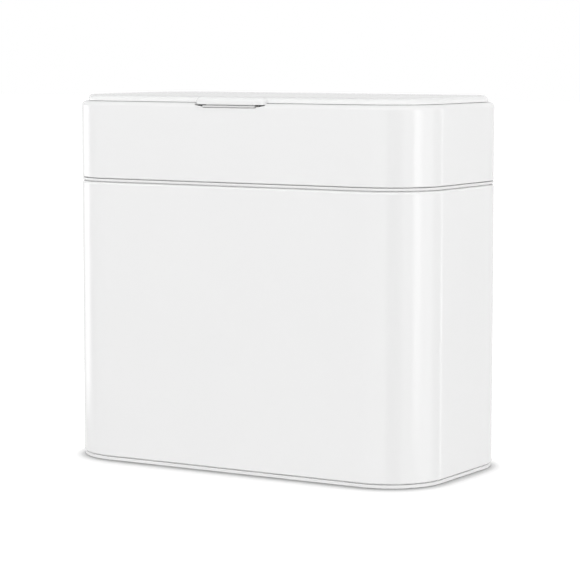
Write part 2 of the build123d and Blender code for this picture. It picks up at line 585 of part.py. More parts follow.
# Tab grip: fills the pull tab from below and carries the lip
grip_rear = FRONT + PANEL_INSET - SLIP
with BuildPart() as tab_grip:
    extrude(tab_outline(LID_SKIN + SNUG, TAB_BOTTOM), amount=SKIN_BOTTOM - TAB_BOTTOM)
    with Locations((0, grip_rear, TAB_BOTTOM)):
        Box(WIDTH, DEPTH, LID_TOP, align=(Align.CENTER, Align.MIN, Align.MIN), mode=Mode.SUBTRACT)
    with Locations((0, FRONT - LIP_PROUD, LIP_BOTTOM)):
        Box(2 * LIP_HALF, LIP_THICK, LIP_DROP, align=(Align.CENTER, Align.MIN, Align.MIN))
    fillet(tab_grip.edges().group_by(Axis.Z)[0].filter_by(Axis.X), LIP_ROUND)

# Lid inner panel: plate, plug rim and hinge knuckles
with BuildPart() as lid_inner:
    extrude(plan(PANEL_INSET, PANEL_BOTTOM), amount=PANEL_THICK)
    extrude(throat_ring(-PLUG_CLEAR, -PLUG_CLEAR - PLUG_WALL, PANEL_BOTTOM - PLUG_DEPTH),
            amount=PLUG_DEPTH)
    extrude(throat_ring(SEAL_END + SNUG, SEAL_START - SNUG, PANEL_BOTTOM), amount=SEAL_SEAT,
            mode=Mode.SUBTRACT)
    add(hinge_rod(SWEEP_RADIUS, -WIDTH / 2, WIDTH / 2), mode=Mode.SUBTRACT)
    with Locations((0, HINGE_Y - LID_REAR_STEP, LID_BOTTOM)):
        Box(WIDTH, DEPTH, LID_TOP, align=(Align.CENTER, Align.MIN, Align.MIN), mode=Mode.SUBTRACT)
    with Locations(*[(s * KNUCKLE_SPREAD, HINGE_Y, PANEL_BOTTOM) for s in SIDES]):
        Box(KNUCKLE_LENGTH, SWEEP_RADIUS + KNUCKLE_ARM_LAP, PANEL_THICK,
            align=(Align.CENTER, Align.MAX, Align.MIN))
    for side in SIDES:
        middle = side * KNUCKLE_SPREAD
        add(hinge_rod(SPINE_RADIUS, middle - KNUCKLE_LENGTH / 2, middle + KNUCKLE_LENGTH / 2))
        add(hinge_rod(BUSH_RADIUS + RUNNING, middle - KNUCKLE_LENGTH, middle + KNUCKLE_LENGTH),
            mode=Mode.SUBTRACT)

# Lid seal in the panel's groove
seal_bottom = DECK_TOP + SEAL_CLEAR
with BuildPart() as lid_seal:
    extrude(throat_ring(SEAL_END, SEAL_START, seal_bottom), amount=PANEL_BOTTOM + SEAL_SEAT - seal_bottom)
    fillet(lid_seal.edges().group_by(Axis.Z)[0], SEAL_ROUND)

PIECES = {
    "outer_shell": outer_shell,
    "shell_trim": shell_trim,
    "base_tray": base_tray,
    "foot_pads": foot_pads,
    "floor_pan": floor_pan,
    "base_screws": base_screws,
    "magnet_carrier": magnet_carrier,
    "docking_magnets": docking_magnets,
    "magnet_back_plate": magnet_back_plate,
    "bucket": bucket,
    "collar_band": collar_band,
    "collar_frame": collar_frame,
    "lid_bumpers": lid_bumpers,
    "hinge_cap_screws": hinge_cap_screws,
    "hinge_pins": hinge_pins,
    "hinge_bushes": hinge_bushes,
    "lid_cover": lid_cover,
    "tab_grip": tab_grip,
    "lid_inner": lid_inner,
    "lid_seal": lid_seal,
}
for piece_name, piece in PIECES.items():
    save(piece.part, piece_name)
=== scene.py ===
"""Countertop compost caddy: the looks of every piece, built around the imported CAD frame.

Metres, +Z up, front towards -Y. An inset on BODY is measured inwards from the outer face of the
shell, and an inset on THROAT from the face of the throat.
"""

import math

import bmesh
import bpy
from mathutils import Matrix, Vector


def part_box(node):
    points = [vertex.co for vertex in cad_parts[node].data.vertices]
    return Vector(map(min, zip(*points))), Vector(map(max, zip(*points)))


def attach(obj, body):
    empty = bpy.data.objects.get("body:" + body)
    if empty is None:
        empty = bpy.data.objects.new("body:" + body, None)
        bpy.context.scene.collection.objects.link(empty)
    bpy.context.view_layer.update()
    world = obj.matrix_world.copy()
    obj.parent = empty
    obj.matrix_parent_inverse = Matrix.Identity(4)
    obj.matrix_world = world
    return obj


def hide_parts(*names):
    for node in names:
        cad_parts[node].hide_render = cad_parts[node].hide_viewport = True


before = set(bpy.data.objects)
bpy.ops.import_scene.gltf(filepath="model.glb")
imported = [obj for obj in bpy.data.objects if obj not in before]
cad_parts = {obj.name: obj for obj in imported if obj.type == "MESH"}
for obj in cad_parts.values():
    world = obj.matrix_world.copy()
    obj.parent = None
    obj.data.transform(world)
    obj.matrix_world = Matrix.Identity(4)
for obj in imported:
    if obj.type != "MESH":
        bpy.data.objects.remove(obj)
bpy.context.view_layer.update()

MM = 0.001
X, Y, Z = range(3)
UP, DOWN = 1, -1
SIDES = (-1, 1)

# Places that the frame gives
shell_low, shell_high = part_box("outer_shell")
trim_low, trim_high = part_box("shell_trim")
base_low, base_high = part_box("base_tray")
pan_low, pan_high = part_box("floor_pan")
carrier_low, carrier_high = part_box("magnet_carrier")
magnet_low, magnet_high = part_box("docking_magnets")
plate_low, plate_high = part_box("magnet_back_plate")
bucket_low, bucket_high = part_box("bucket")
band_low, band_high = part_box("collar_band")
frame_low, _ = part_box("collar_frame")
lid_low, lid_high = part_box("lid_cover")
grip_low, grip_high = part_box("tab_grip")
panel_low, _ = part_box("lid_inner")
seal_low, seal_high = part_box("lid_seal")
bumper_low, bumper_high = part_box("lid_bumpers")
foot_low, foot_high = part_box("foot_pads")
pin_low, pin_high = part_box("hinge_pins")
_, bush_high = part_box("hinge_bushes")
_, cap_left_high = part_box("hinge_cap_left")
cap_centre_low, cap_centre_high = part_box("hinge_cap_centre")
cap_right_low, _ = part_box("hinge_cap_right")

# Painted sheet
SHEET = 0.8 * MM
CORNER = 34.0 * MM
SHELL_TOE = 0.8 * MM
SHELL_BROW = 1.6 * MM
SHELL_HEM = 2.6 * MM
SHELL_FLANGE = 11.0 * MM
BAND_SHOULDER = 2.9 * MM
BAND_HEM = 1.6 * MM
BAND_FOOT = 0.5 * MM
BAND_LIP = 6.5 * MM
BAND_REAR_LIP = 3.5 * MM
BAND_SOFT = 0.2 * MM
FLANGE_HOLE = 1.85 * MM

# Trim ring
BEAD_INSET = 0.25 * MM
BEAD_HEIGHT = 1.55 * MM
BEAD_ROUND = 0.5 * MM
SEAM_GAP = 0.4 * MM
TRIM_NECK = 2.2 * MM
TRIM_LEG = 2.8 * MM
TRIM_INNER = 4.4 * MM
LUG_WIDTH = 12.0 * MM
LUG_HEIGHT = 2.3 * MM
LUG_DROP = 1.0 * MM
LUG_REACH = 1.6 * MM
LUG_ROOT = 0.8 * MM
LUG_SPREAD = 60.0 * MM

# Base tray, feet and floor pan
BASE_INSET = 0.8 * MM
BASE_RIM = 4.2 * MM
BASE_GROOVE = 0.5 * MM
BASE_NECK = 2.4 * MM
BASE_HOLLOW = 1.0 * MM
BASE_RIB = 2.0 * MM
BASE_RIB_PITCH = 35.0 * MM
BASE_RIB_COUNT = 5
BASE_EDGE = 0.3 * MM
SEAT_RIM = 1.2 * MM
SEAT_SLACK = 0.2 * MM
SEAT_DEPTH = 1.0 * MM
FOOT_RADIUS = 7.0 * MM
FOOT_TREAD = 1.6 * MM
FOOT_TREAD_DEPTH = 0.3 * MM
FOOT_SOFT = 0.12 * MM
HEAD_RADIUS = 2.9 * MM
SHANK_HOLE = 1.65 * MM
PAN_INSET = 2.8 * MM
PAN_WALL = 1.8 * MM
PAN_FLOOR = 2.0 * MM
PAN_FLOOR_ROUND = 1.6 * MM
BOSS_RADIUS = 3.4 * MM
BOSS_HEIGHT = 8.0 * MM
BOSS_BORE = 1.5 * MM
BOSS_BORE_DEPTH = 8.6 * MM
SCREW_INSET = 6.8 * MM
SCREW_SPREAD = 70.0 * MM
FOOT_SPREAD = 94.0 * MM
FOOT_ASIDE = 37.25 * MM

# Bucket
ROLL_INSET = 7.2 * MM
ROLL_HEIGHT = 3.0 * MM
ROLL_ROUND = 1.1 * MM
ROLL_LIP = 0.5 * MM
BUCKET_SHOULDER = 2.45 * MM
BUCKET_TAPER = 3.35 * MM
BUCKET_RIM = 4.0 * MM
BUCKET_WALL = 1.6 * MM
BUCKET_FOOT = 9.0 * MM

# Magnet carrier
CARRIER_CORNER = 4.0 * MM
CARRIER_EDGE = 0.4 * MM
POCKET_SLACK = 0.2 * MM
MAGNET_WIDTH = 20.0 * MM
MAGNET_COUNT = 4

# Collar frame and throat
THROAT_INSET = 13.6 * MM
THROAT_SHIFT = 3.2 * MM
THROAT_WALL = 1.6 * MM
THROAT_DIP = 17.2 * MM
FRAME_INSET = 0.95 * MM
FRAME_WALL = 1.8 * MM
FRAME_RELIEF = 1.0 * MM
DECK = 2.2 * MM
SHOULDER_INSET = 1.85 * MM
SHOULDER_CLEAR = 0.15 * MM
SHOULDER_THICK = 1.8 * MM
SPIGOT_INSET = 4.8 * MM
SPIGOT_WALL = 1.6 * MM

# Hinge along the rear of the lid
SPINE_RADIUS = 3.9 * MM
SWEEP_RADIUS = 4.3 * MM
KNUCKLE_GAP = 0.3 * MM
KNUCKLE_ARM = 4.6 * MM
POCKET_WALL = 1.4 * MM
PIN_BORE = 1.55 * MM
BUSH_BORE = 2.45 * MM
CAP_SCREW_BORE = 1.15 * MM
CAP_SCREW_BITE = 2.7 * MM
CAP_SCREW_OUTER = 82.0 * MM
CAP_SCREW_INNER = 18.5 * MM
CAP_SOFT = 0.15 * MM

# Lid and pull tab
LID_INSET = 3.9 * MM
LID_GAP = 0.35 * MM
LID_EDGE_GAP = 0.22 * MM
LID_EDGE = 2.8 * MM
LID_SKIN = 1.0 * MM
LID_REAR_STEP = 2.6 * MM
LID_SOFT = 0.15 * MM
PANEL_INSET = 5.1 * MM
PANEL_RAISE = 0.25 * MM
PLUG_CLEAR = 0.9 * MM
PLUG_WALL = 1.6 * MM
SEAL_WIDTH = 2.8 * MM
SEAL_GROW = 5.0 * MM
SEAL_ROUND = 0.7 * MM
GROOVE_SLACK = 0.1 * MM
TAB_HALF = 23.0 * MM
TAB_CORNER = 5.3 * MM
GRIP_CORNER = 4.9 * MM
LIP_HALF = 17.5 * MM
LIP_PROUD = 0.7 * MM
LIP_THICK = 3.0 * MM
LIP_ROUND = 0.4 * MM
LIP_GROOVE = 0.65 * MM
LIP_GROOVE_DEPTH = 1.2 * MM
LIP_NECK_SHIFT = 0.9 * MM
NOTCH_SIDE = 0.6 * MM
NOTCH_END = 0.55 * MM
NOTCH_STEP = 1.3 * MM
NOTCH_DEPTH = 5.3 * MM
NOTCH_FLOOR = 1.6 * MM
BUMPER_ROUND = 0.9 * MM
BUMPER_CROWN = 0.3 * MM

# Fineness of the meshes
CORNER_STEPS = 24
ROD_STEPS = 48
POST_STEPS = 40
SOFT_STEPS = 2

# Each edge of a plain rim is rounded by one part in RIM_SHARE of its wall's thickness
RIM_SHARE = 3
RIM_STEPS = 4

# How closely places and directions have to match, and how far a cut runs past what it cuts
TOUCH = 0.02 * MM
SLIVER = TOUCH / 10
BEYOND = 2.0 * MM
IN_LINE = 0.999
FLAT_ANGLE = math.radians(0.5)
SMOOTH_ANGLE = math.radians(35)
SHARP_ANGLE = math.radians(50)
FOLD_ANGLE = math.radians(57)

# Levels and lines that follow from those
WIDTH = shell_high.x - shell_low.x
DEPTH = shell_high.y - shell_low.y
FRONT = shell_low.y
LID_BOTTOM = band_high.z + LID_EDGE_GAP
PANEL_BOTTOM = band_high.z + LID_GAP + PANEL_RAISE
PANEL_TOP = lid_high.z - LID_SKIN
SHOULDER_BOTTOM = trim_high.z + SHOULDER_CLEAR
SHOULDER_TOP = SHOULDER_BOTTOM + SHOULDER_THICK
DECK_TOP = band_high.z - SHEET
DECK_BOTTOM = DECK_TOP - DECK
HINGE_Y = (pin_low.y + pin_high.y) / 2
HINGE_Z = (pin_low.z + pin_high.z) / 2
LID_REAR = HINGE_Y - LID_REAR_STEP
KNUCKLE_END = bush_high.x
KNUCKLE_START = cap_centre_high.x + KNUCKLE_GAP
KNUCKLE_MIDDLE = (KNUCKLE_START + KNUCKLE_END) / 2
PIN_END = pin_high.x
PIN_START = 2 * KNUCKLE_MIDDLE - PIN_END
NOTCH_HALF = TAB_HALF + NOTCH_SIDE
NOTCH_BOTTOM = bumper_low.z
SCREW_X = WIDTH / 2 - SCREW_INSET
SCREW_Y = DEPTH / 2 - SCREW_INSET
SCREW_SPOTS = [(side * SCREW_X, 0) for side in SIDES]
SCREW_SPOTS += [(a * SCREW_SPREAD, b * SCREW_Y) for a in SIDES for b in SIDES]
FOOT_SPOTS = [(a * FOOT_SPREAD, b * FOOT_ASIDE) for a in SIDES for b in SIDES]
CAP_SCREW_SPOTS = [(a * x, HINGE_Y) for a in SIDES for x in (CAP_SCREW_INNER, CAP_SCREW_OUTER)]


class Plan:
    """A rounded rectangle seen from above, whose insets run parallel to it."""

    def __init__(self, width, depth, corner, middle):
        self.width, self.depth, self.corner, self.middle = width, depth, corner, middle

    def inset(self, place):
        """How far a place lies inside the outline."""
        aside = abs(place.x) - self.width / 2 + self.corner
        ahead = abs(place.y - self.middle) - self.depth / 2 + self.corner
        outside = math.hypot(max(aside, 0), max(ahead, 0))
        return self.corner - outside - min(max(aside, ahead), 0)


BODY = Plan(WIDTH, DEPTH, CORNER, 0.0)
THROAT = Plan(WIDTH - 2 * THROAT_INSET, DEPTH - 2 * THROAT_INSET - 2 * THROAT_SHIFT,
              CORNER - THROAT_INSET, -THROAT_SHIFT)


# Picking edges and faces of the piece in hand

def pick(kind, *tests):
    """Selects the edges or faces that pass every test, and nothing else."""
    bpy.ops.mesh.select_mode(type=kind)
    bpy.ops.mesh.select_all(action="DESELECT")
    mesh = bmesh.from_edit_mesh(bpy.context.object.data)
    for part in (mesh.edges if kind == "EDGE" else mesh.faces):
        if all(test(part) for test in tests):
            part.select_set(True)
    bmesh.update_edit_mesh(bpy.context.object.data)


def on(plan, inset):
    """A test for what lies on one inset of a plan."""
    def test(part):
        return all(abs(plan.inset(corner.co) - inset) < TOUCH for corner in part.verts)
    return test


def at(axis, place):
    """A test for what lies at one place along an axis."""
    def test(part):
        return all(abs(corner.co[axis] - place) < TOUCH for corner in part.verts)
    return test


def along(axis):
    """A test for edges that run along an axis."""
    def test(edge):
        run = edge.verts[1].co - edge.verts[0].co
        return abs(run.normalized()[axis]) > IN_LINE
    return test


def facing(axis, way):
    """A test for faces that look one way along an axis."""
    def test(face):
        return face.normal[axis] * way > IN_LINE
    return test


# Shaping the piece in hand

def clear_bench():
    """Ends any editing and deselects everything."""
    if bpy.context.object is not None and bpy.context.object.mode == "EDIT":
        bpy.ops.object.mode_set(mode="OBJECT")
    bpy.ops.object.select_all(action="DESELECT")


def settle():
    """Puts the place, turn and scale of the object in hand into its mesh."""
    bpy.ops.object.transform_apply(location=True, rotation=True, scale=True)


def begin_box(name, low, high):
    """A box between two corners, open for editing."""
    clear_bench()
    low, high = Vector(low), Vector(high)
    bpy.ops.mesh.primitive_cube_add(size=1, location=(low + high) / 2, scale=high - low)
    piece = bpy.context.object
    piece.name = piece.data.name = name
    settle()
    bpy.ops.object.mode_set(mode="EDIT")
    return piece


def begin_block(name, plan, inset, bottom, top):
    """A closed block on an inset of a plan, open for editing."""
    half_width, half_depth = plan.width / 2 - inset, plan.depth / 2 - inset
    piece = begin_box(name, (-half_width, plan.middle - half_depth, bottom),
                      (half_width, plan.middle + half_depth, top))
    pick("EDGE", along(Z))
    bevel(plan.corner - inset, CORNER_STEPS)
    return piece


def bevel(radius, steps):
    """Rounds the selected edges."""
    bpy.ops.mesh.bevel(offset=radius, offset_type="OFFSET", segments=steps, affect="EDGES",
                       clamp_overlap=False)


def step_in(distance, rise=0.0):
    """Draws the selected face in, then moves it up or down."""
    bpy.ops.mesh.inset(thickness=distance, use_even_offset=True)
    bpy.ops.transform.translate(value=(0, 0, rise))


def step_along(rise):
    """Extrudes the selected face up or down."""
    bpy.ops.mesh.extrude_region_move(TRANSFORM_OT_translate={"value": (0, 0, rise)})


def open_end(way, rim):
    """Leaves a rim of the upper or lower face and opens the rest."""
    pick("FACE", facing(Z, way))
    step_in(rim)
    bpy.ops.mesh.delete(type="FACE")


def round_off(plan, inset, level, radius, steps=5):
    """Rounds the edges on one inset of a plan at one level."""
    pick("EDGE", at(Z, level), on(plan, inset))
    bevel(radius, steps)


def round_rim(plan, inset, wall, level):
    """Rounds both edges at the end of a wall."""
    round_off(plan, inset, level, wall / RIM_SHARE, RIM_STEPS)
    round_off(plan, inset + wall, level, wall / RIM_SHARE, RIM_STEPS)


def tunnel(plan, inset):
    """Joins the upper and lower faces on one inset of a plan into an opening."""
    pick("FACE", on(plan, inset))
    bpy.ops.mesh.bridge_edge_loops()


def slice_off(place, normal):
    """Cuts the whole piece at a plane and drops what lies on the normal's side."""
    bpy.ops.mesh.select_all(action="SELECT")
    bpy.ops.mesh.bisect(plane_co=place, plane_no=normal, use_fill=True, clear_outer=True)


def close_editing(piece):
    """Ends the editing of a piece and leaves only that piece selected."""
    clear_bench()
    bpy.context.view_layer.objects.active = piece
    piece.select_set(True)
    return piece


def modify(piece, kind, **settings):
    """Adds a modifier with its settings and applies it."""
    close_editing(piece)
    modifier = piece.modifiers.new(kind.lower(), kind)
    for name, value in settings.items():
        setattr(modifier, name, value)
    bpy.ops.object.modifier_apply(modifier=modifier.name)


def thicken(piece):
    """Gives a skin the thickness of the sheet, on its inner side."""
    modify(piece, "SOLIDIFY", thickness=SHEET, offset=-1.0, use_even_offset=True)


def combine(piece, operation, tool):
    """Shapes a piece with a tool, and removes the tool."""
    close_editing(tool)
    modify(piece, "BOOLEAN", operation=operation, object=tool, solver="EXACT")
    bpy.data.objects.remove(tool)


def add(piece, tool):
    """Adds a tool's shape to a piece."""
    combine(piece, "UNION", tool)


def cut(piece, tool):
    """Cuts a tool's shape away from a piece."""
    combine(piece, "DIFFERENCE", tool)


def gather(pieces):
    """Joins separate meshes into the first of them."""
    close_editing(pieces[0])
    for piece in pieces:
        piece.select_set(True)
    if len(pieces) > 1:
        bpy.ops.object.join()
    return close_editing(pieces[0])


def post(radius, bottom, top):
    """An upright round tool over the origin."""
    clear_bench()
    bpy.ops.mesh.primitive_cylinder_add(vertices=POST_STEPS, radius=radius, depth=top - bottom,
                                        location=(0, 0, (bottom + top) / 2))
    settle()
    return bpy.context.object


def copies(piece, places):
    """A piece and copies with meshes of their own, moved from the origin to places and joined."""
    made = [piece]
    for _ in places[1:]:
        close_editing(piece)
        bpy.ops.object.duplicate(linked=False)
        made.append(bpy.context.object)
    for copy, place in zip(made, places):
        close_editing(copy)
        bpy.ops.transform.translate(value=place)
        settle()
    return gather(made)


def posts(radius, spots, bottom, top):
    """Upright round tools at several spots, as one mesh."""
    return copies(post(radius, bottom, top), [(*spot, 0) for spot in spots])


def rod(radius, start, end):
    """A round tool on the hinge line, from one X to another."""
    clear_bench()
    bpy.ops.mesh.primitive_cylinder_add(vertices=ROD_STEPS, radius=radius, depth=end - start,
                                        location=((start + end) / 2, HINGE_Y, HINGE_Z),
                                        rotation=(0, math.pi / 2, 0))
    settle()
    return bpy.context.object


def ends(side, start, end):
    """The ends of a stretch along X on one side of the middle, from left to right."""
    return sorted((side * start, side * end))


def box_tool(low, high):
    """A plain box as a tool."""
    return close_editing(begin_box("tool", low, high))


def block_tool(plan, inset, bottom, top):
    """A block on an inset of a plan as a tool."""
    return close_editing(begin_block("tool", plan, inset, bottom, top))


def soften(piece, width):
    """Breaks every edge that is left sharp, and clears the slivers that this makes."""
    modify(piece, "BEVEL", limit_method="ANGLE", angle_limit=SHARP_ANGLE, width=width,
           segments=SOFT_STEPS, use_clamp_overlap=True, offset_type="OFFSET")
    bpy.ops.object.mode_set(mode="EDIT")
    bpy.ops.mesh.select_all(action="SELECT")
    bpy.ops.mesh.dissolve_degenerate(threshold=SLIVER)
    close_editing(piece)


def hand_over(piece, body, node, slot):
    """Shades a finished piece and puts it on its body in place of a CAD node."""
    close_editing(piece)
    bpy.ops.object.shade_smooth_by_angle(angle=SMOOTH_ANGLE)
    modify(piece, "WEIGHTED_NORMAL", keep_sharp=True)
    piece.data.materials.clear()
    piece.data.materials.append(FINISHES[slot])
    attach(piece, body)
    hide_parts(node)


# Finishes

class Socket:
    """One output in a material's node tree. Arithmetic on it adds Math nodes."""

    def __init__(self, tree, output=None):
        self.tree = tree
        self.output = output

    def node(self, kind, settings=None, sockets=None, give=0):
        """Adds a node: its settings first, then the values or links of its sockets.

        Gives back one of the node's outputs, by number or name.
        """
        made = self.tree.nodes.new(kind)
        for name, value in (settings or {}).items():
            setattr(made, name, value)
        for name, value in (sockets or {}).items():
            if isinstance(value, Socket):
                self.tree.links.new(value.output, made.inputs[name])
            else:
                made.inputs[name].default_value = value
        return Socket(self.tree, made.outputs[give]) if made.outputs else None

    def math(self, operation, first, second):
        """One operation on two values."""
        return self.node("ShaderNodeMath", {"operation": operation}, {0: first, 1: second})

    def __add__(self, other):
        return self.math("ADD", self, other)

    def __radd__(self, other):
        return self.math("ADD", other, self)

    def __sub__(self, other):
        return self.math("SUBTRACT", self, other)

    def __rsub__(self, other):
        return self.math("SUBTRACT", other, self)

    def __mul__(self, other):
        return self.math("MULTIPLY", self, other)

    def __rmul__(self, other):
        return self.math("MULTIPLY", other, self)

    def noise(self, scale, detail=2.0, roughness=0.5):
        """Soft noise around this place, with a grain of one over the scale in metres."""
        return self.node("ShaderNodeTexNoise", {},
                         {"Vector": self, "Scale": scale, "Detail": detail, "Roughness": roughness})

    def blend(self, first, second):
        """A colour between two, by this value. The node's colour sockets go by number."""
        return self.node("ShaderNodeMix", {"data_type": "RGBA"},
                         {0: self, 6: (*first, 1), 7: (*second, 1)}, give=2)

    def bump(self, strength, distance):
        """A surface raised by this value."""
        return self.node("ShaderNodeBump", {},
                         {"Height": self, "Strength": strength, "Distance": distance})


def empty_tree(owner):
    """Clears the nodes of a material or a world, and gives a socket to add others from."""
    owner.use_nodes = True
    owner.node_tree.nodes.clear()
    return Socket(owner.node_tree)


def new_finish(name):
    """An empty material, and the place on the piece that its patterns read."""
    material = bpy.data.materials.new(name)
    place = empty_tree(material).node("ShaderNodeTexCoord", give="Object")
    return material, place


def coat_with(place, **sockets):
    """Ends a material in one surface shader."""
    named = {name.replace("_", " ").title(): value for name, value in sockets.items()}
    surface = place.node("ShaderNodeBsdfPrincipled", {}, named)
    place.node("ShaderNodeOutputMaterial", {}, {"Surface": surface})


def painted_steel():
    """Glossy white powder coat: a faint orange peel and hardly any change in tone."""
    material, place = new_finish("white_powder_coat")
    cloud = place.noise(scale=16.0, detail=3.0)
    peel = place.noise(scale=620.0)
    fine = place.noise(scale=2600.0, detail=1.0)
    coat_with(
        place,
        base_color=cloud.blend((0.850, 0.850, 0.850), (0.868, 0.868, 0.867)),
        roughness=0.13 + 0.04 * cloud + 0.03 * fine,
        normal=(0.8 * peel + 0.2 * fine).bump(strength=0.008, distance=0.2 * MM),
    )
    return material


def moulded_plastic(name, dark, light, roughness, grain):
    """Moulded plastic with the fine spark-eroded grain of its tool and slight flow marks."""
    material, place = new_finish(name)
    flow = place.noise(scale=22.0, detail=3.0, roughness=0.6)
    speck = place.noise(scale=1500.0, roughness=0.6)
    coat_with(
        place,
        base_color=(0.7 * flow + 0.3 * speck).blend(dark, light),
        roughness=roughness - 0.06 + 0.12 * speck,
        normal=speck.bump(strength=grain, distance=0.15 * MM),
    )
    return material


def soft_rubber(name, dark, light, roughness):
    """Silicone or rubber: matt, with a dusty bloom and a soft uneven skin."""
    material, place = new_finish(name)
    bloom = place.noise(scale=45.0, detail=4.0, roughness=0.6)
    skin = place.noise(scale=900.0, detail=3.0, roughness=0.6)
    coat_with(
        place,
        base_color=bloom.blend(dark, light),
        roughness=roughness + 0.14 * bloom - 0.06 * skin,
        normal=skin.bump(strength=0.12, distance=0.2 * MM),
    )
    return material


def bare_metal(name, dark, light, roughness, stretch):
    """Bare metal with fine marks drawn out along X."""
    material, place = new_finish(name)
    drawn = place.node("ShaderNodeMapping", {}, {"Vector": place, "Scale": (1 / stretch, 1, 1)})
    marks = drawn.noise(scale=2600.0, detail=3.0, roughness=0.6)
    stain = place.noise(scale=70.0, detail=3.0)
    coat_with(
        place,
        base_color=(0.6 * marks + 0.4 * stain).blend(dark, light),
        metallic=1.0,
        roughness=roughness + 0.16 * marks - 0.05 * stain,
        normal=marks.bump(strength=0.08, distance=0.05 * MM),
    )
    return material


FINISHES = {
    "white_painted_steel": painted_steel(),
    "white_plastic": moulded_plastic(
        "white_moulding", dark=(0.825, 0.825, 0.822), light=(0.850, 0.850, 0.848),
        roughness=0.40, grain=0.05),
    "grey_bucket_plastic": moulded_plastic(
        "grey_bucket", dark=(0.345, 0.355, 0.365), light=(0.375, 0.385, 0.395),
        roughness=0.50, grain=0.12),
    "grey_silicone": soft_rubber(
        "grey_silicone", dark=(0.50, 0.51, 0.52), light=(0.54, 0.55, 0.56), roughness=0.50),
    # Dark silicone of the tab bumpers, whose darkness also stands in for painted shade in the gaps
    # beside the tab's lip
    "dark_silicone": soft_rubber(
        "dark_silicone", dark=(0.080, 0.080, 0.080), light=(0.105, 0.105, 0.105), roughness=0.55),
    "dark_rubber": soft_rubber(
        "dark_rubber", dark=(0.060, 0.060, 0.060), light=(0.085, 0.085, 0.084), roughness=0.68),
    "bright_steel": bare_metal(
        "bright_steel", dark=(0.60, 0.60, 0.61), light=(0.70, 0.70, 0.71),
        roughness=0.22, stretch=12.0),
    "nickel_magnet": bare_metal(
        "nickel_plate", dark=(0.68, 0.67, 0.65), light=(0.75, 0.74, 0.72),
        roughness=0.14, stretch=1.0),
    "natural_acetal": moulded_plastic(
        "natural_acetal", dark=(0.865, 0.855, 0.815), light=(0.890, 0.880, 0.845),
        roughness=0.34, grain=0.03),
}


# Housing

def painted_shell():
    """Steel sleeve with a rolled toe, a flange under the pan and a hem at the mouth."""
    piece = begin_block("painted_shell", BODY, 0.0, shell_low.z, shell_high.z)
    open_end(DOWN, SHELL_FLANGE)
    open_end(UP, SHELL_HEM)
    round_off(BODY, 0.0, shell_low.z, SHELL_TOE, steps=7)
    round_off(BODY, 0.0, shell_high.z, SHELL_BROW, steps=6)
    thicken(piece)
    cut(piece, posts(FLANGE_HOLE, SCREW_SPOTS, shell_low.z - SHEET, shell_low.z + 2 * SHEET))
    hand_over(piece, "housing", "outer_shell", "white_painted_steel")


def seam_trim():
    """Plastic ring: the bead in the seam, its neck, and a leg with snap lugs inside the shell."""
    bead_bottom = trim_high.z - BEAD_HEIGHT
    piece = begin_block("seam_trim", BODY, BEAD_INSET, bead_bottom, trim_high.z)
    pick("FACE", facing(Z, DOWN))
    step_in(TRIM_NECK - BEAD_INSET)
    step_along(-SEAM_GAP)
    step_in(TRIM_LEG - TRIM_NECK)
    step_along(trim_low.z - shell_high.z)
    step_in(TRIM_INNER - TRIM_LEG)
    pick("FACE", facing(Z, UP))
    step_in(TRIM_INNER - BEAD_INSET)
    tunnel(BODY, TRIM_INNER)
    round_off(BODY, BEAD_INSET, bead_bottom, BEAD_ROUND)
    round_off(BODY, BEAD_INSET, trim_high.z, BEAD_ROUND)
    round_off(BODY, TRIM_INNER, trim_high.z, BEAD_ROUND)
    round_off(BODY, TRIM_INNER, trim_low.z, BEAD_ROUND)
    lug_top = shell_high.z - LUG_DROP
    lug_bottom = lug_top - LUG_HEIGHT
    reach = (LUG_REACH + LUG_ROOT) / 2
    middle = LUG_REACH - reach - TRIM_LEG
    lug = box_tool((-LUG_WIDTH / 2, -reach, lug_bottom), (LUG_WIDTH / 2, reach, lug_top))
    add(piece, copies(lug, [(x, side * (DEPTH / 2 + middle), 0)
                            for side in SIDES for x in (-LUG_SPREAD, 0, LUG_SPREAD)]))
    lug = box_tool((-reach, -LUG_WIDTH / 2, lug_bottom), (reach, LUG_WIDTH / 2, lug_top))
    add(piece, copies(lug, [(side * (WIDTH / 2 + middle), 0, 0) for side in SIDES]))
    hand_over(piece, "housing", "shell_trim", "white_plastic")


